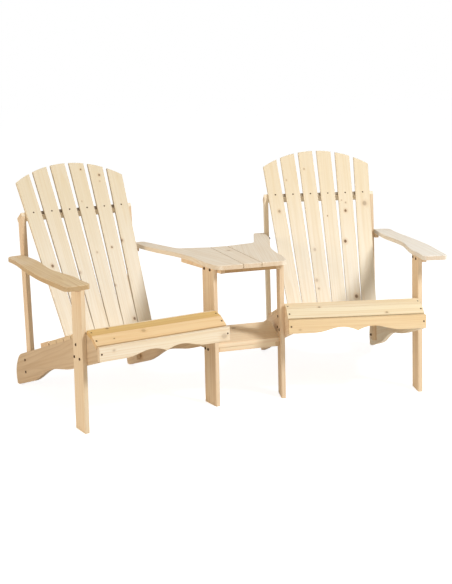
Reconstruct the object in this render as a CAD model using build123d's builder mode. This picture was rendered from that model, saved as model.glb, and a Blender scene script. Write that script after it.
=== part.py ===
from build123d import *
import os
from math import cos, radians, sin, sqrt, tan

os.makedirs("parts", exist_ok=True)

# Overall sizes, in millimetres and degrees
total_height = 950.0
chair_width = 588.0
chair_spread = 418.5
toe_in = 12.75

# Boards
board = 18.0
seat_slat_thickness = 16.0
back_slat_thickness = 11.0
edge_ease = 1.5

# Front legs and arms
leg_width = 89.0
arm_height = 562.0
arm_front = 72.0
arm_past_post = 10.0
arm_overhang = 86.0
arm_overhang_rear = 42.0
arm_tail_overhang = 18.0
arm_tail_corner = 16.0
arm_rear_corner = 33.0
arm_straight_run = 92.0
arm_swing_run = 100.0
arm_corner = 22.0

# Side rails and the seat
seat_pitch = 18.0
crest_y = -3.0
crest_z = 379.0
nose_pitch = 15.0
nose_run = 42.0
front_pitch = 35.0
front_run = 48.0
side_rail_reach = 98.0
side_rail_depth = 118.0
side_rail_waist = 102.0
foot_rear = 780.0
foot_length = 22.0
heel_bulge = 10.0
seat_slats = 5
seat_slat_gap = 8.0
slat_joint = 0.3
seat_run = 406.0

# Apron
apron_rise = 10.0
apron_drop = 53.0
apron_scallop = 19.0

# Back
recline = 31.0
back_slats = 6
fan_radius = 2300.0
fan_pitch = 1.645
slat_foot_width = 64.0
slat_top_width = 69.0
slat_foot = 52.0
arch_radius = 450.0
upper_rail_up = 571.0
upper_rail_depth = 60.0
lower_rail_width = 90.0

# Rear posts
post_depth = 47.0
post_lean = 3.6
post_bottom = 53.0
block_height = 20.0
block_length = 45.0
block_lap = 28.0

# Table and shelf
table_front = 12.0
table_rear = 452.0
middle_board_width = 74.0
seam = 3.0
table_corner = 40.0
flare_out = 50.0
flare_ahead = 32.0
flare_radius = 45.0
batten_height = 19.0
batten_front = 30.0
batten_rear = 297.0
rail_setback = 31.0
shelf_top = 250.0
shelf_thickness = 17.0
shelf_front = 88.0
shelf_rear = 368.0
shelf_cleat_height = 20.0

# Fasteners
screw_radius = 2.0
screw_head = 4.0
screw_length = 32.0
screw_cross = 4.4
screw_cross_width = 1.0
screw_cross_depth = 1.2
bolt_radius = 3.0
bolt_head = 5.5
bolt_head_height = 3.0
nut_width = 10.0
nut_height = 5.0
bolt_tail = 2.0
hole_clearance = 0.1

# Widths counted out from a chair's middle plane
leg_outer = chair_width / 2
leg_inner = leg_outer - board
rail_inner = leg_inner - board
post_inner = rail_inner - board
batten_outer = leg_outer + board
rail_middle = leg_inner - board / 2
post_middle = rail_inner - board / 2

# The left chair's own frame: x towards the table, y to the rear, z up
turn = radians(toe_in)
apron_front = side_rail_reach + board
heel = foot_rear + heel_bulge
foot_front = foot_rear - foot_length
legs_y = -cos(turn) * (heel - apron_front) / 2
chair = Plane(
    origin=(-chair_spread, legs_y, 0),
    x_dir=(cos(turn), sin(turn), 0),
    z_dir=(0, 0, 1),
)


def spot(x, y, z):
    return chair.from_local_coords((x, y, z))


def heading(x, y, z):
    return spot(x, y, z) - spot(0, 0, 0)


def flat(x, y):
    point = spot(x, y, 0)
    return (point.X, point.Y)


def side_plane(x):
    return Plane(origin=spot(x, 0, 0), x_dir=heading(0, 1, 0), z_dir=heading(1, 0, 0))


def level_plane(z):
    return Plane(origin=spot(0, 0, z), x_dir=heading(1, 0, 0), z_dir=(0, 0, 1))


def facet(x, y, z, pitch):
    rise = radians(pitch)
    return Plane(
        origin=spot(x, y, z),
        x_dir=heading(1, 0, 0),
        z_dir=heading(0, -sin(rise), cos(rise)),
    )


def facing(x, y, z, toward):
    return Plane(origin=spot(x, y, z), z_dir=heading(*toward))


# Line of a leg's or batten's side, at a distance in front of the set's leg line
def along_side(x, y):
    local_y = (y - x * sin(turn)) / cos(turn)
    return flat(x, local_y)


# Top line of the side rails, and the corners of their falling front
seat = radians(seat_pitch)
nose = radians(nose_pitch)
front = radians(front_pitch)


def seat_line(y):
    return crest_z - tan(seat) * (y - crest_y)


crest = (crest_y, crest_z)
nose_end = (crest_y - nose_run * cos(nose), crest_z - nose_run * sin(nose))
front_end = (
    nose_end[0] - front_run * cos(front),
    nose_end[1] - front_run * sin(front),
)

# The back: origin where its front meets the seat's top
back_y = crest_y + seat_run * cos(seat) + seat_slat_thickness * sin(seat)
back_z = crest_z - seat_run * sin(seat) + seat_slat_thickness * cos(seat)
back = facet(0, back_y, back_z, 90 - recline)
lean_back = radians(recline)
back_top = (total_height - back_z) / cos(lean_back)


# A point given by its height along the back and its depth behind the back's front
def behind_back(up, depth):
    y = back_y + up * sin(lean_back) + depth * cos(lean_back)
    z = back_z + up * cos(lean_back) - depth * sin(lean_back)
    return (y, z)


# Screws and bolts: a plane at each head, facing out of the wood
screw_spots = []
bolt_spots = []
grip = 2 * board


# The right half's screws are mirror images, so only the left half's are kept
def sink(spots):
    screw_spots.extend([place for place in spots if place.origin.X < 0])
    with Locations(*spots):
        CounterSinkHole(
            radius=screw_radius + hole_clearance,
            counter_sink_radius=screw_head,
            counter_sink_angle=90,
        )


def pilot(spots, thickness):
    with Locations(*[place.offset(-thickness) for place in spots]):
        Hole(
            radius=screw_radius + hole_clearance, depth=screw_length - thickness + 1
        )


def bolt_hole(spots):
    with Locations(*[place.offset(board) for place in spots]):
        Hole(radius=bolt_radius + hole_clearance, depth=grip + 2 * board)


def save(piece, name):
    piece.label = name
    export_step(piece, f"parts/{name}.step")


def save_both(piece, name):
    save(piece, f"left_{name}")
    with BuildPart() as twin:
        mirror(piece, about=Plane.YZ)
    save(twin.part, f"right_{name}")


def save_pair(pieces, name):
    with BuildPart() as group:
        add(pieces)
        mirror(pieces, about=Plane.YZ)
    save(group.part, name)


# Fastener places on the left chair, shared by the boards that they join
sides = {"outer": -1, "inner": 1}
rail_bolts = {}
leg_bolts = {}
post_bolts = {}
block_bolts = {}
block_z = arm_height - block_height / 2
rail_under = behind_back(upper_rail_up - board / 2, back_slat_thickness)
post_slope = tan(radians(post_lean))


def post_front(z):
    return rail_under[0] + 1 + post_slope * (z - rail_under[1])


block_rear = post_front(block_z) + block_lap
block_front = block_rear - block_length
arm_rear = post_front(arm_height) + arm_past_post
arm_wide = leg_outer + arm_overhang
arm_narrow = leg_outer + arm_overhang_rear

for side, sign in sides.items():
    rail_bolts[side] = [
        facing(sign * leg_outer, y, z, (sign, 0, 0))
        for y, z in (
            (0.67 * leg_width, seat_line(0.67 * leg_width) - 0.25 * side_rail_depth),
            (0.87 * leg_width, seat_line(0.87 * leg_width) - 0.62 * side_rail_depth),
            (0.31 * leg_width, seat_line(0.31 * leg_width) - 0.75 * side_rail_depth),
        )
    ]
    leg_bolts[side] = [
        facing(sign * leg_inner, share * leg_width, arm_height - batten_height / 2, (-sign, 0, 0))
        for share in (0.3, 0.8)
    ]
    post_bolts[side] = [
        facing(sign * leg_inner, post_front(z) + post_depth / 2, z, (sign, 0, 0))
        for z in (post_bottom + 22, post_bottom + 74)
    ]
    block_bolts[side] = [
        facing(sign * leg_inner, (post_front(block_z) + block_rear) / 2, block_z, (sign, 0, 0))
    ]
shelf_bolts = [
    facing(
        leg_inner,
        share * leg_width,
        shelf_top - shelf_thickness - shelf_cleat_height / 2,
        (-1, 0, 0),
    )
    for share in (0.62, 0.88)
]
for side in sides:
    bolt_spots.extend(leg_bolts[side] + rail_bolts[side] + post_bolts[side] + block_bolts[side])
bolt_spots.extend(shelf_bolts)

# Seat slats: name, the facet that each lies on, and its width
angle_to_back = radians(recline - seat_pitch)
seat_end = seat_run - seat_slat_thickness * tan(angle_to_back) - 3
seat_slat_width = (seat_end - 2 - (seat_slats - 1) * seat_slat_gap) / seat_slats
slat_seats = []
for number in range(seat_slats):
    distance = 2 + seat_slat_width / 2 + number * (seat_slat_width + seat_slat_gap)
    slat_y = crest_y + distance * cos(seat)
    slat_seats.append((f"seat_slat_{number + 1}", slat_y, seat_line(slat_y), -seat_pitch, seat_slat_width))
slat_seats.append(
    (
        "nose_slat",
        (crest[0] + nose_end[0]) / 2,
        (crest[1] + nose_end[1]) / 2,
        nose_pitch,
        nose_run - 2 * slat_joint,
    )
)
slat_seats.append(
    (
        "front_slat",
        (nose_end[0] + front_end[0]) / 2,
        (nose_end[1] + front_end[1]) / 2,
        front_pitch,
        front_run - 2 * slat_joint,
    )
)
# The nose and front slats meet in a mitre
mitre = seat_slat_thickness * tan(radians(front_pitch - nose_pitch) / 2)
seat_screws = {sign: [] for sign in sides.values()}
for name, slat_y, slat_z, pitch, width in slat_seats:
    resting = facet(0, slat_y, slat_z, pitch)
    heads = [
        facet(sign * rail_middle, slat_y, slat_z, pitch).offset(seat_slat_thickness)
        for sign in sides.values()
    ]
    for sign, head in zip(sides.values(), heads):
        seat_screws[sign].append(head)
    front_mitre = mitre if name == "nose_slat" else 0
    rear_mitre = mitre if name == "front_slat" else 0
    edge_on = Plane(
        origin=resting.origin - leg_inner * resting.x_dir,
        x_dir=resting.y_dir,
        z_dir=resting.x_dir,
    )
    with BuildPart() as seat_slat:
        with BuildSketch(edge_on):
            with BuildLine():
                Polyline(
                    (-width / 2, 0),
                    (width / 2, 0),
                    (width / 2 + rear_mitre, seat_slat_thickness),
                    (-width / 2 - front_mitre, seat_slat_thickness),
                    close=True,
                )
            make_face()
        extrude(amount=2 * leg_inner)
        long_edges = seat_slat.edges().filter_by(Axis(resting.origin, resting.x_dir))
        long_edges = long_edges.sort_by(Axis(edge_on.origin, edge_on.x_dir))
        free_edges = long_edges[2 if front_mitre else 0 : 2 if rear_mitre else 4]
        chamfer(free_edges, edge_ease)
        sink(heads)
    save_both(seat_slat.part, name)

# Lower back rail: lies on the side rails with its front edge cut to the back's slope
lower_front = back_slat_thickness / cos(angle_to_back)
lower_start = seat_run - seat_slat_thickness * tan(angle_to_back) + lower_front
lower_lean = board * tan(angle_to_back)


def on_seat(along, up):
    y = crest_y + along * cos(seat) + up * sin(seat)
    z = crest_z - along * sin(seat) + up * cos(seat)
    return (y, z)


lower_end = lower_start + lower_rail_width
lower_up = -(seat_slat_thickness - board / 2) / cos(angle_to_back)
lower_screws = {
    sign: [
        facet(sign * rail_middle, *on_seat(lower_end - lower_rail_width / 3, 0), -seat_pitch).offset(board)
    ]
    for sign in sides.values()
}

# Back slats: tapered boards on the rays of a fan, their tops cut to one arch
arch_centre = (0, back_top - arch_radius)


def reach_arch(start, goal):
    run = (goal[0] - start[0], goal[1] - start[1])
    length = sqrt(run[0] ** 2 + run[1] ** 2)
    step = (run[0] / length, run[1] / length)
    off = (start[0] - arch_centre[0], start[1] - arch_centre[1])
    half = off[0] * step[0] + off[1] * step[1]
    rest = off[0] ** 2 + off[1] ** 2 - arch_radius**2
    travel = sqrt(half**2 - rest) - half
    return (start[0] + travel * step[0], start[1] + travel * step[1])


slat_upper_screws = []
slat_lower_screws = []
for number in range(back_slats):
    ray = radians((number - (back_slats - 1) / 2) * fan_pitch)

    def on_ray(up, aside):
        reach = fan_radius + up
        return (reach * sin(ray) + aside * cos(ray), reach * cos(ray) - fan_radius - aside * sin(ray))

    foot_left = on_ray(-slat_foot, -slat_foot_width / 2)
    foot_right = on_ray(-slat_foot, slat_foot_width / 2)
    top_left = reach_arch(foot_left, on_ray(back_top, -slat_top_width / 2))
    top_right = reach_arch(foot_right, on_ray(back_top, slat_top_width / 2))
    top_middle = reach_arch(on_ray(-slat_foot, 0), on_ray(back_top, 0))
    upper_head = Plane(back * Location(((fan_radius + upper_rail_up) * tan(ray), upper_rail_up, 0)))
    lower_head = Plane(back * Location(((fan_radius + lower_up) * tan(ray), lower_up, 0)))
    slat_upper_screws.append(upper_head)
    slat_lower_screws.append(lower_head)
    with BuildPart() as back_slat:
        with BuildSketch(back):
            with BuildLine():
                Polyline(top_left, foot_left, foot_right, top_right)
                ThreePointArc(top_right, top_middle, top_left)
            make_face()
        extrude(amount=-back_slat_thickness)
        chamfer(back_slat.faces().sort_by(Axis(back.origin, back.z_dir))[-1].edges(), edge_ease)
        sink([upper_head, lower_head])
    save_both(back_slat.part, f"back_slat_{number + 1}")

# Upper back rail: square to the back, resting on the rear posts
post_screws = {
    sign: facing(
        sign * post_middle,
        *behind_back(upper_rail_up + board / 2, back_slat_thickness + upper_rail_depth / 2),
        (0, sin(lean_back), cos(lean_back)),
    )
    for sign in sides.values()
}
with BuildPart() as upper_rail:
    with BuildSketch(back.offset(-back_slat_thickness)):
        with Locations((0, upper_rail_up)):
            Rectangle(2 * rail_inner, board)
    extrude(amount=-upper_rail_depth)
    chamfer(upper_rail.edges().filter_by(Axis(back.origin, back.x_dir)), edge_ease)
    pilot(slat_upper_screws, back_slat_thickness)
    sink(list(post_screws.values()))
save_both(upper_rail.part, "upper_back_rail")

with BuildPart() as lower_rail:
    with BuildSketch(side_plane(-leg_inner)):
        with BuildLine():
            Polyline(
                on_seat(lower_start, 0),
                on_seat(lower_end, 0),
                on_seat(lower_end, board),
                on_seat(lower_start + lower_lean, board),
                close=True,
            )
        make_face()
    extrude(amount=2 * leg_inner)
    pilot(slat_lower_screws, back_slat_thickness)
    for sign in sides.values():
        sink(lower_screws[sign])
save_both(lower_rail.part, "lower_back_rail")

# Side rails: waisted boards that run from the apron to a foot on the floor
waist_start = 0.2 * foot_rear
waist_end = 0.753 * foot_rear
waist_middle = 0.505 * foot_rear
shoulder = foot_rear - 64
downhill = (cos(seat), -sin(seat))
apron_screws = {
    sign: [facing(sign * rail_middle, -apron_front, front_end[1] - 15, (0, -1, 0))]
    for sign in sides.values()
}


def foot_line(y):
    return tan(seat) * (foot_front - y)


for side, sign in sides.items():
    start = leg_inner if sign < 0 else -rail_inner
    with BuildPart() as side_rail:
        with BuildSketch(side_plane(-start)):
            with BuildLine():
                Polyline(
                    (waist_start, seat_line(waist_start) - side_rail_depth),
                    (-side_rail_reach, seat_line(-side_rail_reach) - side_rail_depth),
                    (-side_rail_reach, front_end[1]),
                    front_end,
                    nose_end,
                    crest,
                    (shoulder, seat_line(shoulder)),
                )
                Spline(
                    (shoulder, seat_line(shoulder)),
                    (foot_rear - 10, seat_line(foot_rear) - 22),
                    (heel, 50),
                    (foot_rear, 0),
                    tangents=[downhill, (-0.3, -1)],
                )
                Polyline((foot_rear, 0), (foot_front, 0), (waist_end, foot_line(waist_end)))
                Spline(
                    (waist_end, foot_line(waist_end)),
                    (waist_middle, seat_line(waist_middle) - side_rail_waist),
                    (waist_start, seat_line(waist_start) - side_rail_depth),
                    tangents=[(-cos(seat), sin(seat)), (-cos(seat), sin(seat))],
                )
            make_face()
        extrude(amount=board)
        pilot(seat_screws[sign], seat_slat_thickness)
        pilot(lower_screws[sign], board)
        pilot(apron_screws[sign], board)
        bolt_hole(rail_bolts[side])
        bolt_hole(post_bolts[side])
    save_both(side_rail.part, f"{side}_side_rail")

    # Front leg
    with BuildPart() as leg:
        with BuildSketch(level_plane(0)):
            with Locations((sign * (leg_outer - board / 2), leg_width / 2)):
                Rectangle(board, leg_width)
        extrude(amount=arm_height)
        chamfer(leg.edges().filter_by(Axis.Z), edge_ease)
        bolt_hole(rail_bolts[side])
        bolt_hole(leg_bolts[side])
        if side == "inner":
            bolt_hole(shelf_bolts)
    save_both(leg.part, f"{side}_front_leg")

    # Rear post, its top cut to the upper back rail
    post_start = rail_inner if sign < 0 else -post_inner
    cut = (cos(lean_back), -sin(lean_back))
    travel_front = (post_front(rail_under[1]) - rail_under[0]) / (cut[0] - post_slope * cut[1])
    travel_rear = travel_front + post_depth / (cut[0] - post_slope * cut[1])
    top_front = (rail_under[0] + travel_front * cut[0], rail_under[1] + travel_front * cut[1])
    top_rear = (rail_under[0] + travel_rear * cut[0], rail_under[1] + travel_rear * cut[1])
    with BuildPart() as post:
        with BuildSketch(side_plane(-post_start)):
            with BuildLine():
                Polyline(
                    (post_front(post_bottom), post_bottom),
                    (post_front(post_bottom) + post_depth, post_bottom),
                    top_rear,
                    top_front,
                    close=True,
                )
            make_face()
        extrude(amount=board)
        bolt_hole(post_bolts[side])
        bolt_hole(block_bolts[side])
        pilot([post_screws[sign]], board)
    save_both(post.part, f"{side}_rear_post")

# Apron: its lower edge rises in two scallops to either side of a middle point
apron_top = front_end[1] + apron_rise
apron_low = apron_top - apron_drop
apron_half = leg_inner
with BuildPart() as apron:
    with BuildSketch(Plane(spot(0, -side_rail_reach, 0), heading(1, 0, 0), heading(0, -1, 0))):
        with BuildLine():
            Polyline(
                (-0.65 * apron_half, apron_low),
                (-apron_half, apron_low),
                (-apron_half, apron_top),
                (apron_half, apron_top),
                (apron_half, apron_low),
                (0.65 * apron_half, apron_low),
            )
            for sign in sides.values():
                Spline(
                    (sign * 0.65 * apron_half, apron_low),
                    (sign * 0.26 * apron_half, apron_low + apron_scallop),
                    (0, apron_low + 2),
                    tangents=[(-sign, 0), (-sign, -0.6)],
                )
        make_face()
    extrude(amount=board)
    for sign in sides.values():
        sink(apron_screws[sign])
save_both(apron.part, "apron")

# Arms: their inner edges swing out round the sitter and in again at the rear posts
arm_inner_rear = rail_inner + 0.3
arm_straight = arm_rear - arm_straight_run
arm_edge_front = leg_inner + 3
arm_swing = [
    (arm_inner_rear, arm_straight),
    (rail_inner + 4, arm_straight - arm_swing_run),
    (leg_outer - 6, 0.41 * arm_rear),
    (leg_inner - 2, leg_width),
]
batten_screws = [
    facing(leg_outer + board / 2, y, arm_height - batten_height, (0, 0, -1))
    for y in (-0.4 * batten_front, batten_rear - 30)
]
cleat_screws = [
    facing(-leg_outer - board / 2, share * leg_width, arm_height - batten_height, (0, 0, -1))
    for share in (0.15, 0.55)
]
rail_z = arm_height - batten_height
front_rail_y = table_front + rail_setback
rear_rail_y = batten_rear - board
middle_half = middle_board_width / 2
rail_screws = [
    Plane((x, legs_y + y + board / 2, rail_z), z_dir=(0, 0, -1))
    for y in (front_rail_y, rear_rail_y)
    for x in (-0.5 * middle_half, -1.9 * middle_half)
]
rail_screws += [
    Plane((-place.origin.X, place.origin.Y, place.origin.Z), z_dir=(0, 0, -1)) for place in rail_screws
]

with BuildPart() as outer_arm:
    with BuildSketch(level_plane(arm_height)):
        with BuildLine():
            FilletPolyline(
                (-arm_edge_front, 0),
                (-arm_edge_front, -arm_front),
                (-arm_wide, -arm_front),
                (-arm_wide, 0.22 * arm_rear),
                radius=arm_corner,
            )
            Spline(
                (-arm_wide, 0.22 * arm_rear),
                (-arm_wide + 9, 0.43 * arm_rear),
                (-0.4 * arm_wide - 0.6 * arm_narrow, 0.66 * arm_rear),
                (-arm_narrow, 0.92 * arm_rear),
                tangents=[(0, 1), (0, 1)],
            )
            Line((-arm_narrow, 0.92 * arm_rear), (-arm_narrow, arm_rear - arm_rear_corner))
            TangentArc(
                (-arm_narrow, arm_rear - arm_rear_corner),
                (-arm_narrow + arm_rear_corner, arm_rear),
                tangent=(0, 1),
            )
            Polyline(
                (-arm_narrow + arm_rear_corner, arm_rear),
                (-arm_inner_rear, arm_rear),
                (-arm_inner_rear, arm_straight),
            )
            Spline(
                *[(-out, y) for out, y in arm_swing],
                (-arm_edge_front, 0),
                tangents=[(0, -1), (0, -1)],
            )
        make_face()
    extrude(amount=board)
    chamfer(outer_arm.faces().sort_by(Axis.Z)[-1].edges(), edge_ease)
    pilot(cleat_screws, batten_height)
save_both(outer_arm.part, "outer_arm")

table_edge_y = legs_y + table_front
table_rear_y = legs_y + table_rear
seam_x = -middle_half - seam
inner_edge = leg_inner - 8
corner = along_side(inner_edge, table_front)
rear_seam = (seam_x, table_rear_y)
arm_tip = leg_outer + arm_tail_overhang
flare = flat(leg_outer + flare_out, table_rear - flare_ahead)
tip = flat(arm_tip, arm_rear)
tail = (0.8 * tip[0] + 0.2 * flare[0], 0.8 * tip[1] + 0.2 * flare[1])
rear_edge = flat(0.6 * arm_inner_rear + 0.4 * arm_tip, arm_rear)
forward = heading(0, -1, 0)
with BuildPart() as inner_arm:
    with BuildSketch(Plane.XY.offset(arm_height)):
        with BuildLine():
            FilletPolyline(
                flat(inner_edge, 20),
                corner,
                (seam_x, table_edge_y),
                radius=table_corner,
            )
            Line((seam_x, table_edge_y), rear_seam)
            FilletPolyline(rear_seam, flare, tail, radius=flare_radius)
            FilletPolyline(tail, tip, rear_edge, radius=arm_tail_corner)
            Polyline(rear_edge, flat(arm_inner_rear, arm_rear), flat(*arm_swing[0]))
            Spline(
                *[flat(*place) for place in arm_swing],
                flat(inner_edge, 20),
                tangents=[(forward.X, forward.Y), (forward.X, forward.Y)],
            )
        make_face()
    extrude(amount=board)
    chamfer(inner_arm.faces().sort_by(Axis.Z)[-1].edges(), edge_ease)
    pilot(batten_screws, batten_height)
    pilot([place for place in rail_screws if place.origin.X < seam_x], batten_height)
save_both(inner_arm.part, "inner_arm")

with BuildPart() as middle_board:
    with BuildSketch(Plane.XY.offset(arm_height)):
        with Locations((0, (table_edge_y + table_rear_y) / 2)):
            Rectangle(middle_board_width, table_rear - table_front)
    extrude(amount=board)
    chamfer(middle_board.faces().sort_by(Axis.Z)[-1].edges(), edge_ease)
    pilot([place for place in rail_screws if abs(place.origin.X) < middle_half], batten_height)
save(middle_board.part, "table_middle_board")

# Cross rails under the table, their ends cut to the battens' inner faces
for name, rail_y in (("front", front_rail_y), ("rear", rear_rail_y)):
    front_left = along_side(batten_outer, rail_y)
    rear_left = along_side(batten_outer, rail_y + board)
    with BuildPart() as table_rail:
        with BuildSketch(Plane.XY.offset(rail_z)):
            with BuildLine():
                Polyline(
                    front_left,
                    (-front_left[0], front_left[1]),
                    (-rear_left[0], rear_left[1]),
                    rear_left,
                    close=True,
                )
            make_face()
        extrude(amount=batten_height)
        sink([place for place in rail_screws if abs(place.origin.Y - legs_y - rail_y) < board])
    save(table_rail.part, f"table_{name}_rail")

# Battens, cleats and blocks that carry the arms and the table
with BuildPart() as batten:
    with BuildSketch(level_plane(rail_z)):
        with Locations((leg_outer + board / 2, (batten_rear - batten_front) / 2)):
            Rectangle(board, batten_rear + batten_front)
    extrude(amount=batten_height)
    sink(batten_screws)
    bolt_hole(leg_bolts["inner"])
save_pair(batten.part, "table_battens")

with BuildPart() as arm_cleat:
    with BuildSketch(level_plane(rail_z)):
        with Locations((-leg_outer - board / 2, leg_width / 2)):
            Rectangle(board, leg_width)
    extrude(amount=batten_height)
    sink(cleat_screws)
    bolt_hole(leg_bolts["outer"])
save_pair(arm_cleat.part, "arm_cleats")

with BuildPart() as arm_block:
    with BuildSketch(level_plane(arm_height - block_height)):
        with Locations((-rail_inner - board / 2, (block_front + block_rear) / 2)):
            Rectangle(board, block_rear - block_front)
        with Locations((rail_inner + board / 2, (block_front + block_rear) / 2)):
            Rectangle(board, block_rear - block_front)
    extrude(amount=block_height)
    bolt_hole(block_bolts["outer"])
    bolt_hole(block_bolts["inner"])
save_pair(arm_block.part, "arm_blocks")

# Shelf between the inner legs, with a cleat on each leg and a rail under its front edge
shelf_under = shelf_top - shelf_thickness
cleat_under = shelf_under - shelf_cleat_height
cleat_start = (shelf_front - leg_outer * sin(turn)) / cos(turn)
cleat_end = (shelf_rear - batten_outer * sin(turn)) / cos(turn)
shelf_screws = [
    facing(leg_outer + board / 2, y, cleat_under, (0, 0, -1)) for y in (cleat_start + 12, cleat_end - 30)
]
shelf_screws_right = [
    Plane((-place.origin.X, place.origin.Y, place.origin.Z), z_dir=(0, 0, -1)) for place in shelf_screws
]
shelf_left = [along_side(leg_outer, shelf_front), along_side(leg_outer, shelf_rear)]
shelf_right = [(-x, y) for x, y in shelf_left]
with BuildPart() as shelf_board:
    with BuildSketch(Plane.XY.offset(shelf_under)):
        with BuildLine():
            Polyline(shelf_left[0], shelf_right[0], shelf_right[1], shelf_left[1], close=True)
        make_face()
    extrude(amount=shelf_thickness)
    chamfer(shelf_board.edges().filter_by(Axis.X).group_by(Axis.Z)[-1], edge_ease)
    pilot(shelf_screws + shelf_screws_right, shelf_cleat_height)
save(shelf_board.part, "shelf_board")

with BuildPart() as shelf_cleat:
    with BuildSketch(level_plane(cleat_under)):
        with Locations((leg_outer + board / 2, (cleat_start + cleat_end) / 2)):
            Rectangle(board, cleat_end - cleat_start)
    extrude(amount=shelf_cleat_height)
    sink(shelf_screws)
    bolt_hole(shelf_bolts)
save_pair(shelf_cleat.part, "shelf_cleats")

rail_front = [along_side(batten_outer, shelf_front + 4), along_side(batten_outer, shelf_front + 4 + board)]
with BuildPart() as shelf_rail:
    with BuildSketch(Plane.XY.offset(cleat_under)):
        with BuildLine():
            Polyline(
                rail_front[0],
                (-rail_front[0][0], rail_front[0][1]),
                (-rail_front[1][0], rail_front[1][1]),
                rail_front[1],
                close=True,
            )
        make_face()
    extrude(amount=shelf_cleat_height)
save(shelf_rail.part, "shelf_front_rail")

# Wood screws with sunk heads
head_depth = screw_head - screw_radius
with BuildPart() as screw:
    with BuildSketch(Plane.XZ):
        with BuildLine():
            Polyline(
                (0, -0.4),
                (screw_head - 0.4, -0.4),
                (screw_radius, -head_depth),
                (screw_radius, 4 - screw_length),
                (0, -screw_length),
                close=True,
            )
        make_face()
    revolve(axis=Axis.Z)
    for angle in (0, 90):
        with Locations(Location((0, 0, -0.4), (0, 0, angle))):
            Box(screw_cross, screw_cross_width, 2 * screw_cross_depth, mode=Mode.SUBTRACT)
save_pair([place.location * screw.part for place in screw_spots], "wood_screws")

# Round-headed bolts, and the nuts on their ends
with BuildPart() as bolt:
    Cylinder(bolt_head, bolt_head_height, align=(Align.CENTER, Align.CENTER, Align.MIN))
    fillet(bolt.edges().sort_by(Axis.Z)[-1], 0.6 * bolt_head_height)
    Cylinder(
        bolt_radius,
        grip + nut_height + bolt_tail,
        align=(Align.CENTER, Align.CENTER, Align.MAX),
    )
save_pair([place.location * bolt.part for place in bolt_spots], "bolts")

with BuildPart() as nut:
    with BuildSketch(Plane.XY.offset(-grip)):
        RegularPolygon(nut_width / 2, 6, major_radius=False)
        Circle(bolt_radius + hole_clearance, mode=Mode.SUBTRACT)
    extrude(amount=-nut_height)
save_pair([place.location * nut.part for place in bolt_spots], "nuts")
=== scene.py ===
import math
import random

import bpy
import numpy as np
from mathutils import Matrix, Vector


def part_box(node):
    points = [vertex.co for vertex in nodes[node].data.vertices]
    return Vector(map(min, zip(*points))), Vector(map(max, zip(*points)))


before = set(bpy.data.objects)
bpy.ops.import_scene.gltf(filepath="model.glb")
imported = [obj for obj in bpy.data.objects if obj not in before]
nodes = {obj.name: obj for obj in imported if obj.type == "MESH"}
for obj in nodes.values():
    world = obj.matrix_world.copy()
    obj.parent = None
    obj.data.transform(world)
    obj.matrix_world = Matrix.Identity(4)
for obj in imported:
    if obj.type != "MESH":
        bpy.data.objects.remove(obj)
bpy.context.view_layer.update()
print("frame: %d nodes" % len(nodes))


def linear(hexText):
    # sRGB to linear, each channel: c / 12.92 in the dark toe, else ((c + 0.055) / 1.055) ** 2.4
    srgb = np.array([int(hexText[i : i + 2], 16) for i in (1, 3, 5)]) / 255
    toe = srgb / 12.92
    curve = ((srgb + 0.055) / 1.055) ** 2.4
    return tuple(float(v) for v in np.where(srgb <= 0.04045, toe, curve)) + (1.0,)


def addNode(tree, kind, inputs=None, **settings):
    # an input given as a socket is linked, any other is set as the socket's own value
    node = tree.nodes.new("ShaderNode" + kind)
    for name, value in settings.items():
        setattr(node, name, value)
    for key, value in (inputs or {}).items():
        if isinstance(value, bpy.types.NodeSocket):
            tree.links.new(value, node.inputs[key])
        else:
            node.inputs[key].default_value = value
    return node


# colour sockets of a Mix node
mixUnder, mixOver, mixResult = 6, 7, 2


def newMaterial(name):
    material = bpy.data.materials.new(name)
    material.use_nodes = True
    tree = material.node_tree
    tree.nodes.clear()
    return material, tree


def dress(node, material):
    node.data.materials.clear()
    node.data.materials.append(material)


# the thickness axis of every board is turned to this side
frontSide = (0.2, -0.9, 0.5)


def boardAxes(node):
    # area-weighted spread of the face normals: most of it lies through the board, least along it
    mesh = node.data
    normals = np.empty(3 * len(mesh.polygons))
    areas = np.empty(len(mesh.polygons))
    mesh.polygons.foreach_get("normal", normals)
    mesh.polygons.foreach_get("area", areas)
    normals = normals.reshape(-1, 3)
    spread = (normals * areas[:, None]).T @ normals
    vectors = np.linalg.eigh(spread)[1]
    along, thick = vectors[:, 0], vectors[:, 2]
    along = along * np.sign(along[np.argmax(np.abs(along))])
    thick = thick * np.sign(thick @ np.array(frontSide) or 1.0)
    return np.array([along, np.cross(thick, along), thick])


def boardMiddle(node):
    low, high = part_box(node.name)
    return np.array((low + high) / 2)


mmPerMetre = 1000.0

fir = {
    "seedRange": 900.0,
    "flatSawnShare": 0.6,
    "flatPith": {"across": (-18.0, 18.0), "deep": (-14.0, -42.0)},  # mm from the board's middle
    "quarterPith": {"across": (90.0, 190.0), "deep": (-30.0, 30.0)},
    "ringSpacing": 9.0,  # mm, two to three times the real ring so that the render shows it
    "ringSpread": (0.75, 1.3),  # narrowest and widest rings as a share of the spacing
    "ringWander": 26.0,  # mm that a ring strays along the board
    "ringTaper": 0.016,  # the trunk's taper, which draws the pointed arches
    "ringRoundKnot": 7.0,  # mm that a knot pushes the rings aside
    "summer": ((0.45, 0.12), (0.84, 1.0)),  # time of the year and how dark the wood is then
    "poorSummer": 0.35,
    "ringDepth": 0.45,
    "streakDepth": 0.38,
    "patchDepth": 0.35,
    "haloDepth": 0.3,
    "endDepth": 0.4,
    "ringRelief": 0.5,
    "bumpStrength": 0.35,
    "bumpDepth": 0.0005,  # metres
    "ior": 1.5,
    "sheen": 0.3,
    "roughness": (0.78, 0.64),  # spring wood, summer wood
}

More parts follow.
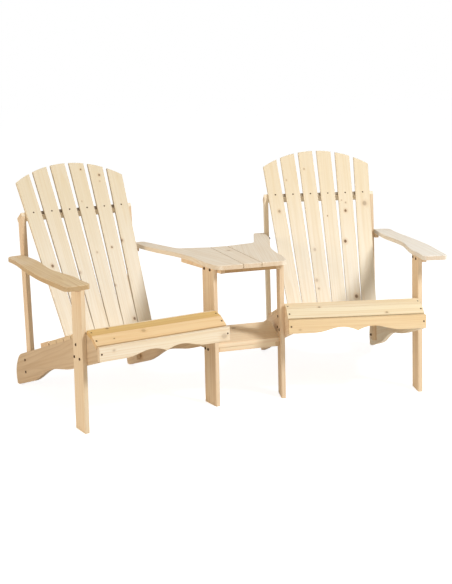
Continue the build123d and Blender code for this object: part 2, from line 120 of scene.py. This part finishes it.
# noise cells in mm along, across and through the board, detail, and the shift of the seed;
# the fibres are coarser than real ones so that close views show them
firNoise = {
    "wander": ((420.0, 70.0, 70.0), 2.0, 0.0),
    "streak": ((520.0, 10.0, 10.0), 3.0, 11.0),
    "patch": ((300.0, 110.0, 110.0), 2.0, 23.0),
    "fibre": ((60.0, 3.0, 3.0), 2.0, 37.0),
}

# where a layer starts and where it is full: a noise level, or how squarely a face looks that way
firSpans = {
    "streak": (0.38, 0.72),
    "patch": (0.4, 0.75),
    "sawnEnd": (0.75, 0.95),
    "paintedEdgeShade": (0.2, 0.6),
    "gapShade": (0.6, 0.9),
}

# pale spring wood, darker summer wood, patch tint
woodTones = {
    "back": ("#F7F0E2", "#E7D6B7", "#F1E8D3"),
    "seat": ("#F0E1C4", "#DDBD8C", "#E9D6AE"),
    "noseLeft": ("#E2C182", "#C89956", "#D9B473"),
    "frontLeft": ("#EFD4A9", "#D9AC6F", "#ECC790"),
    "frontRight": ("#EEE2C5", "#DCC191", "#E9D6AF"),
    "apronLeft": ("#F4E7D0", "#E2C59B", "#F2E1BC"),
    "apronRight": ("#EFD8B0", "#DBB37A", "#EBCB9B"),
    "armLeft": ("#E7D0A8", "#C5A06F", "#F5EDE0"),
    "arm": ("#F4EBDB", "#DCC7A7", "#EDDAC0"),
    "armRight": ("#F7F4EC", "#E5D7C1", "#F0E6D7"),
    "leg": ("#EDDBBD", "#D7B58B", "#E4CAA5"),
    # painted shade: a darker copy of the frame tone for the left outer side rail
    "rail": ("#D5BFA0", "#B59670", "#C6AB89"),
    "frame": ("#F0DCBE", "#D3AE84", "#E7C6A5"),
    # painted light: a paler copy of the frame tone, for pieces that lie in shade
    "sapwood": ("#FAEFD9", "#E5CCA6", "#F4E2C8"),
    # the rail under the table: darker wood, with painted shade from the table top over it
    "tableRail": ("#CFAE84", "#A98258", "#BC966A"),
    # painted light: the shelf's tone is paler than its wood, to offset the shade of the table
    # above it
    "shelf": ("#F9EACC", "#E6B98E", "#F5D2AE"),
}

toneByPiece = {
    "left_nose_slat": "noseLeft",
    "left_front_slat": "frontLeft",
    "right_front_slat": "frontRight",
    "left_apron": "apronLeft",
    "right_apron": "apronRight",
    "left_outer_arm": "armLeft",
    "right_outer_arm": "armRight",
    "left_outer_front_leg": "leg",
    "left_outer_side_rail": "rail",
    # these pieces get the frame tone made paler as painted light
    "right_inner_rear_post": "sapwood",
    "right_outer_side_rail": "sapwood",
    "table_front_rail": "tableRail",
    "shelf_board": "shelf",
    "shelf_front_rail": "shelf",
}

# the first word that a piece's name contains decides, any other piece has the frame's tone
toneByWord = (
    ("back_slat", "back"),
    ("slat", "seat"),
    ("_arm", "arm"),
    ("table_middle", "arm"),
    ("upper_back_rail", "sapwood"),
)

endGrain = "#C7A272"

# the back slats grow darker and yellower towards their upper ends: the span in mm from the slat's
# middle
darkerUpperEnds = {"colour": "#D3BB84", "span": (-300.0, 380.0), "depth": {"back": 0.4}}

# painted shade: the narrow edges of the arms and back slats are darkened, most on the left outer
# arm
paintedEdgeShade = {"colour": "#9C7B4C", "depth": {"back": 0.26, "armLeft": 0.42, "armRight": 0.1}}

# painted shade on the upper rails' front edges, only behind the slats where the gaps between them
# are shaded: reach from the middle and fade in mm
railGapShade = {
    "colour": "#4F341E",
    "depth": {"left_upper_back_rail": 0.88, "right_upper_back_rail": 0.62},
    "reach": 233.0,
    "soft": 6.0,
}

knotForm = {
    "heartColour": "#6A4A2A",
    "haloColour": "#CBA068",
    "stretch": 0.8,  # a knot's breadth over its length along the grain
    "reach": {"heart": (0.5, 1.15), "halo": (0.8, 2.8)},  # full and gone, in radii
    "halo": (0.4, 0.6),  # least halo, and how much more a dark knot has
    "pinCell": 120.0,  # mm, at most one pin knot in a cell
    "pinShare": 0.14,
    "pinSlant": 0.7,
    "pinRadius": 2.8,  # mm
    "pinDepth": 0.75,
}

# knots that show on the faces: along and across from the board's middle and radius, all in mm,
# and depth of colour
knots = {
    "left_back_slat_1": [(-28, -6, 6.5, 0.85)],
    "left_back_slat_3": [(-95, 29, 6.0, 0.3)],
    "left_back_slat_4": [(387, -17, 3.5, 0.9), (232, 15, 3.0, 0.3), (-13, 4, 4.0, 0.35)],
    "left_back_slat_5": [
        (362, -15, 5.0, 0.85),
        (331, -11, 3.5, 0.3),
        (11, 6, 4.5, 0.75),
        (-164, 31, 5.0, 0.35),
        (-321, -20, 6.0, 0.8),
    ],
    "left_back_slat_6": [(54, 28, 6.0, 0.6)],
    "right_back_slat_1": [(166, -11, 11.0, 0.4)],
    "right_back_slat_2": [
        (167, 18, 3.0, 0.35),
        (155, 0, 4.0, 0.4),
        (114, 4, 6.5, 0.85),
        (-39, 18, 7.5, 0.9),
        (-305, -9, 8.0, 0.8),
    ],
    "right_back_slat_4": [
        (329, 18, 4.0, 0.45),
        (128, 35, 3.0, 0.4),
        (-80, 14, 7.0, 0.25),
        (-228, 22, 7.0, 0.25),
        (-268, 18, 4.5, 0.4),
    ],
    "right_back_slat_5": [(283, 26, 4.0, 0.3)],
    "right_back_slat_6": [(142, 0, 6.5, 0.5)],
    "left_nose_slat": [(-197, 15, 6.0, 0.7)],
    "right_nose_slat": [(-142, -17, 5.0, 0.75)],
    "left_front_slat": [(-69, 13, 8.0, 0.3)],
    "right_front_slat": [(125, -13, 5.0, 0.5)],
    "left_apron": [(251, -6, 12.0, 0.25), (-218, 10, 5.0, 0.25)],
    "right_apron": [(-232, -12, 5.0, 0.2)],
    "left_inner_side_rail": [(316, 19, 10.0, 0.6)],
    "table_middle_board": [(101, -6, 9.0, 0.4)],
    "shelf_board": [(14, 80, 8.0, 0.6)],
}


def toneOf(name):
    byWord = [tone for word, tone in toneByWord if word in name]
    return toneByPiece.get(name, (byWord + ["frame"])[0])


def noiseFields(tree, place, seed):
    # 4D noise over stretched board coordinates: long cells along the grain, narrow ones across it
    field = {}
    for name, (size, detail, shift) in firNoise.items():
        cells = {0: place, 1: [1 / v for v in size]}
        stretched = addNode(tree, "VectorMath", cells, operation="MULTIPLY").outputs[0]
        look = {"Vector": stretched, "W": seed + shift, "Scale": 1.0, "Detail": detail}
        field[name] = addNode(tree, "TexNoise", look, noise_dimensions="4D").outputs["Fac"]
    return field


def pinKnots(tree, onFace, seed):
    # distance to each cell's random point; a cell without a pin knot is one cell farther away
    cell = knotForm["pinCell"]
    grid = {0: onFace, 1: (1 / cell, 1 / cell, 0), 2: (seed, seed * knotForm["pinSlant"], 0)}
    spot = addNode(tree, "VectorMath", grid, operation="MULTIPLY_ADD").outputs[0]
    look = {"Vector": spot, "Scale": 1.0}
    pins = addNode(tree, "TexVoronoi", look, voronoi_dimensions="2D").outputs
    lot = addNode(tree, "SeparateColor", {"Color": pins["Color"]}).outputs[0]
    drawn = {0: lot, 1: knotForm["pinShare"]}
    missing = addNode(tree, "Math", drawn, operation="GREATER_THAN").outputs[0]
    near = addNode(tree, "Math", {0: pins["Distance"], 1: cell}, operation="MULTIPLY").outputs[0]
    away = {0: missing, 1: cell, 2: near}
    return addNode(tree, "Math", away, operation="MULTIPLY_ADD").outputs[0]


def knotFades(tree, name, place, seed):
    # each knot fades with the distance from its middle on the broad face; the darkest one counts
    stretch = knotForm["stretch"]
    flat = {0: place, 1: (stretch, 1, 0)}
    onFace = addNode(tree, "VectorMath", flat, operation="MULTIPLY").outputs[0]
    spots = [(pinKnots(tree, onFace, seed), knotForm["pinRadius"], knotForm["pinDepth"])]
    for along, across, radius, depth in knots.get(name, []):
        centre = {0: onFace, 1: (along * stretch, across, 0)}
        away = addNode(tree, "VectorMath", centre, operation="DISTANCE").outputs["Value"]
        spots.append((away, radius, depth))
    least, more = knotForm["halo"]
    fades = {"heart": 0.0, "halo": 0.0}
    for away, radius, depth in spots:
        most = {"heart": depth, "halo": least + more * depth}
        for part, (full, gone) in knotForm["reach"].items():
            span = {"Value": away, "From Min": radius * full, "From Max": radius * gone}
            span.update({"To Min": most[part], "To Max": 0.0})
            fade = addNode(tree, "MapRange", span, interpolation_type="SMOOTHSTEP").outputs[0]
            both = {0: fades[part], 1: fade}
            fades[part] = addNode(tree, "Math", both, operation="MAXIMUM").outputs[0]
    return fades


def growthRings(tree, draw, place, along, wander, halo):
    # years: distance from the pith, strayed by taper, noise and knots, over the ring spacing;
    # the fraction of a year gives the season's darkness, the whole year its weather
    flatSawn = draw.random() < fir["flatSawnShare"]
    side = 1 if flatSawn else draw.choice((-1, 1))
    pith = fir["flatPith"] if flatSawn else fir["quarterPith"]
    across = side * draw.uniform(*pith["across"])
    deep = draw.uniform(*pith["deep"])
    offset = {0: place, 1: (0, 1, 1), 2: (0, -across, -deep)}
    fromPith = addNode(tree, "VectorMath", offset, operation="MULTIPLY_ADD").outputs[0]
    ringAt = addNode(tree, "VectorMath", {0: fromPith}, operation="LENGTH").outputs["Value"]
    strays = (
        (along, fir["ringTaper"] * draw.choice((-1, 1))),
        (wander, fir["ringWander"]),
        (halo, fir["ringRoundKnot"]),
    )
    for value, amount in strays:
        stray = {0: value, 1: amount, 2: ringAt}
        ringAt = addNode(tree, "Math", stray, operation="MULTIPLY_ADD").outputs[0]
    spacing = {0: ringAt, 1: fir["ringSpacing"] * draw.uniform(*fir["ringSpread"])}
    years = addNode(tree, "Math", spacing, operation="DIVIDE").outputs[0]
    year = addNode(tree, "Math", {0: years}, operation="FLOOR").outputs[0]
    season = addNode(tree, "Math", {0: years}, operation="FRACT").outputs[0]
    weather = addNode(tree, "TexWhiteNoise", {"W": year}, noise_dimensions="1D").outputs["Value"]
    growth = addNode(tree, "ValToRGB", {"Fac": season})
    stops = growth.color_ramp.elements
    stops[0].color = (0, 0, 0, 1)
    stops[1].color = (0, 0, 0, 1)
    for time, level in fir["summer"]:
        stops.new(time).color = (level, level, level, 1)
    return growth.outputs[0], weather


def firBoard(node):
    # planed, unfinished fir: matt cream wood, honey grain lines, brown knots, darker sawn ends
    draw = random.Random(node.name)
    material, tree = newMaterial("planedFir_" + node.name)
    axes = boardAxes(node)
    middle = axes @ boardMiddle(node) * mmPerMetre
    turn = Matrix(axes.tolist()).to_euler("XYZ")
    seed = draw.uniform(0, fir["seedRange"])
    tone = toneOf(node.name)
    early, late, tint = (linear(c) for c in woodTones[tone])

    coords = addNode(tree, "TexCoord").outputs["Object"]
    onBoard = {"Vector": coords, "Location": -middle, "Rotation": turn}
    onBoard["Scale"] = (mmPerMetre,) * 3
    place = addNode(tree, "Mapping", onBoard).outputs[0]
    along = addNode(tree, "SeparateXYZ", {0: place}).outputs[0]
    field = noiseFields(tree, place, seed)
    knot = knotFades(tree, node.name, place, seed)
    wander, halo = field["wander"], knot["halo"]
    season, weather = growthRings(tree, draw, place, along, wander, halo)

    # how squarely a face looks along the board, through it and to the front, and how far out it is
    normal = addNode(tree, "NewGeometry").outputs["Normal"]
    ways = {"end": axes[0], "broad": axes[2], "front": axes[1] * -np.sign(axes[1][1])}
    looks = {"fromMiddle": along}
    for name, way in ways.items():
        dot = addNode(tree, "VectorMath", {0: normal, 1: way}, operation="DOT_PRODUCT")
        looks[name] = dot.outputs["Value"]
    for name in ("end", "broad", "fromMiddle"):
        looks[name] = addNode(tree, "Math", {0: looks[name]}, operation="ABSOLUTE").outputs[0]

    # how strongly each colour lies over the one before: value, its span, strength at both ends
    reach, soft = railGapShade["reach"], railGapShade["soft"]
    eases = {
        "weather": (weather, (0.0, 1.0), fir["poorSummer"], 1.0),
        "streak": (field["streak"], firSpans["streak"], 0.0, fir["streakDepth"]),
        "patch": (field["patch"], firSpans["patch"], 0.0, fir["patchDepth"]),
        "darkerUpperEnds": (along, darkerUpperEnds["span"], 0.0, darkerUpperEnds["depth"].get(tone, 0.0)),
        "halo": (halo, (0.0, 1.0), 0.0, fir["haloDepth"]),
        "sawnEnd": (looks["end"], firSpans["sawnEnd"], 0.0, fir["endDepth"]),
        # painted shade on the narrow edges of the arms and back slats
        "paintedEdgeShade": (looks["broad"], firSpans["paintedEdgeShade"], paintedEdgeShade["depth"].get(tone, 0.0), 0.0),
        # painted shade on the upper rails' front edges
        "front": (looks["front"], firSpans["gapShade"], 0.0, railGapShade["depth"].get(node.name, 0.0)),
        "behind": (looks["fromMiddle"], (reach - soft, reach + soft), 1.0, 0.0),
    }
    eased = {}
    for name, (value, (start, end), first, last) in eases.items():
        span = {"Value": value, "From Min": start, "From Max": end}
        span.update({"To Min": first, "To Max": last})
        eased[name] = addNode(tree, "MapRange", span, interpolation_type="SMOOTHSTEP").outputs[0]
    dark = {0: season, 1: eased["weather"]}
    ring = addNode(tree, "Math", dark, operation="MULTIPLY").outputs[0]
    grain = {0: ring, 1: fir["ringDepth"]}
    summer = addNode(tree, "Math", grain, operation="MULTIPLY").outputs[0]
    # painted shade in the gaps between the back slats: front edge only, and only within reach of
    # the middle
    gapShadeParts = {0: eased["front"], 1: eased["behind"]}
    gapShade = addNode(tree, "Math", gapShadeParts, operation="MULTIPLY").outputs[0]

    layers = (
        (summer, late),
        (eased["streak"], late),
        (eased["patch"], tint),
        (eased["darkerUpperEnds"], linear(darkerUpperEnds["colour"])),
        (eased["halo"], linear(knotForm["haloColour"])),
        (knot["heart"], linear(knotForm["heartColour"])),
        (eased["sawnEnd"], linear(endGrain)),
        # painted shade on the narrow edges
        (eased["paintedEdgeShade"], linear(paintedEdgeShade["colour"])),
        (gapShade, linear(railGapShade["colour"])),
    )
    colour = early
    for factor, over in layers:
        mix = {"Factor": factor, mixUnder: colour, mixOver: over}
        colour = addNode(tree, "Mix", mix, data_type="RGBA").outputs[mixResult]

    raised = {0: ring, 1: fir["ringRelief"], 2: field["fibre"]}
    relief = addNode(tree, "Math", raised, operation="MULTIPLY_ADD").outputs[0]
    felt = {"Height": relief, "Strength": fir["bumpStrength"], "Distance": fir["bumpDepth"]}
    bump = addNode(tree, "Bump", felt).outputs[0]
    spring, hard = fir["roughness"]
    dull = {"Value": ring, "To Min": spring, "To Max": hard}
    rough = addNode(tree, "MapRange", dull).outputs[0]
    surface = {"Base Color": colour, "Roughness": rough, "Normal": bump}
    surface.update({"IOR": fir["ior"], "Specular IOR Level": fir["sheen"]})
    shader = addNode(tree, "BsdfPrincipled", surface).outputs[0]
    addNode(tree, "OutputMaterial", {"Surface": shader})
    dress(node, material)


# material, lighter and darker coat, roughness
fasteners = {
    "wood_screws": ("brownPhosphateSteelScrews", "#5E421F", "#3C2812", 0.6),
    "bolts": ("brownPhosphateSteelBolts", "#5E421F", "#3A2611", 0.55),
    "nuts": ("brownPhosphateSteelNuts", "#5E421F", "#3A2611", 0.6),
}
steel = {
    "cloudSize": 2.381,  # mm
    "cloudDetail": 3.0,
    "roughSpan": (-0.1, 0.16),
    "ior": 1.5,
    "sheen": 0.25,
}


def steelFinish(node, name, light, dark, roughness):
    # steel under a brown phosphate coat: dull and dark, clouded by handling
    material, tree = newMaterial(name)
    coords = addNode(tree, "TexCoord").outputs["Object"]
    fineness = mmPerMetre / steel["cloudSize"]
    clouds = {"Vector": coords, "Scale": fineness, "Detail": steel["cloudDetail"]}
    cloud = addNode(tree, "TexNoise", clouds).outputs["Fac"]
    mix = {"Factor": cloud, mixUnder: linear(dark), mixOver: linear(light)}
    colour = addNode(tree, "Mix", mix, data_type="RGBA").outputs[mixResult]
    least, most = (roughness + v for v in steel["roughSpan"])
    dull = {"Value": cloud, "To Min": least, "To Max": most}
    rough = addNode(tree, "MapRange", dull).outputs[0]
    surface = {"Base Color": colour, "Roughness": rough}
    surface.update({"IOR": steel["ior"], "Specular IOR Level": steel["sheen"]})
    shader = addNode(tree, "BsdfPrincipled", surface).outputs[0]
    addNode(tree, "OutputMaterial", {"Surface": shader})
    dress(node, material)


for name, node in nodes.items():
    if name in fasteners:
        steelFinish(node, *fasteners[name])
    else:
        firBoard(node)
print("finishes: %d" % len(nodes))


studio = {
    "floorHalf": 40.0,  # metres
    "floorColour": "#F4F2EE",
    "floorGlow": 0.82,
    "glowColour": "#FAFCFF",  # offsets the warm surround, so that the floor looks white
    "floorCatch": 0.6,  # how much of the lamps' light and shade the floor shows
    "ambient": 0.36,
    "ambientColour": "#FFF7EC",  # light that has bounced off pale wood
}

# each lamp: a soft disk, its place, the point that it looks at, width in metres, watts and colour
lamps = {
    "keyLight": ((2.98, -4.32, 4.56), (0.1, 0.0, 0.4), 1.6, 295.0, "#FFFFFF"),
    "fillLight": ((-9.0, -1.5, 2.2), (0.0, 0.0, 0.4), 4.5, 310.0, "#FFEBD4"),
}


def seenDirectly(tree):
    # 1 for camera, glossy and transmission rays, which see the white backdrop
    path = addNode(tree, "LightPath").outputs
    direct = path["Is Camera Ray"]
    for ray in ("Is Glossy Ray", "Is Transmission Ray"):
        direct = addNode(tree, "Math", {0: direct, 1: path[ray]}, operation="MAXIMUM").outputs[0]
    return direct


def layFloor():
    # painted studio floor: white to the eye, with the object's soft shadow
    half = studio["floorHalf"]
    mesh = bpy.data.meshes.new("studioFloor")
    corners = [(-half, -half, 0), (half, -half, 0), (half, half, 0), (-half, half, 0)]
    mesh.from_pydata(corners, [], [(0, 1, 2, 3)])
    floor = bpy.data.objects.new("studioFloor", mesh)
    bpy.context.scene.collection.objects.link(floor)
    material, tree = newMaterial("mattWhitePaint")
    paint = addNode(tree, "BsdfDiffuse", {"Color": linear(studio["floorColour"])}).outputs[0]
    shade = addNode(tree, "BsdfDiffuse", {"Color": (studio["floorCatch"],) * 3 + (1,)}).outputs[0]
    lit = {"Color": linear(studio["glowColour"]), "Strength": studio["floorGlow"]}
    glow = addNode(tree, "Emission", lit).outputs[0]
    seen = addNode(tree, "AddShader", {0: shade, 1: glow}).outputs[0]
    mix = {0: seenDirectly(tree), 1: paint, 2: seen}
    surface = addNode(tree, "MixShader", mix).outputs[0]
    addNode(tree, "OutputMaterial", {"Surface": surface})
    mesh.materials.append(material)


def lightStudio():
    # an even pale surround, which the eye sees as white, and the soft lamps
    world = bpy.data.worlds.new("whiteStudio")
    world.use_nodes = True
    tree = world.node_tree
    tree.nodes.clear()
    pale = {"Color": linear(studio["ambientColour"]), "Strength": studio["ambient"]}
    surround = addNode(tree, "Background", pale).outputs[0]
    white = addNode(tree, "Background", {"Color": (1, 1, 1, 1), "Strength": 1.0}).outputs[0]
    mix = {0: seenDirectly(tree), 1: surround, 2: white}
    sky = addNode(tree, "MixShader", mix).outputs[0]
    addNode(tree, "OutputWorld", {"Surface": sky})
    bpy.context.scene.world = world
    for name, (place, aim, size, power, colour) in lamps.items():
        light = bpy.data.lights.new(name, "AREA")
        light.shape = "DISK"
        light.size = size
        light.energy = power
        light.color = linear(colour)[:3]
        lamp = bpy.data.objects.new(name, light)
        bpy.context.scene.collection.objects.link(lamp)
        lamp.location = place
        lamp.rotation_euler = (Vector(aim) - Vector(place)).to_track_quat("-Z", "Y").to_euler()


camera = {
    "place": (-1.37625, -4.17351, 1.33536),
    "turn": (84.0394, 1.4143, -17.3074),  # degrees
    "sensor": 36.0,
    "lens": 64.739,
    "shift": (0.03425, -0.18883),  # the photograph is cropped off-centre
    "clipEnd": 200.0,
}


def setCamera():
    lens = bpy.data.cameras.new("photoCamera")
    lens.sensor_width = camera["sensor"]
    lens.lens = camera["lens"]
    lens.shift_x, lens.shift_y = camera["shift"]
    lens.clip_end = camera["clipEnd"]
    eye = bpy.data.objects.new("photoCamera", lens)
    bpy.context.scene.collection.objects.link(eye)
    eye.location = camera["place"]
    eye.rotation_euler = [math.radians(v) for v in camera["turn"]]
    bpy.context.scene.camera = eye


layFloor()
lightStudio()
setCamera()
bpy.context.scene.view_settings.view_transform = "Standard"
print("studio ready")
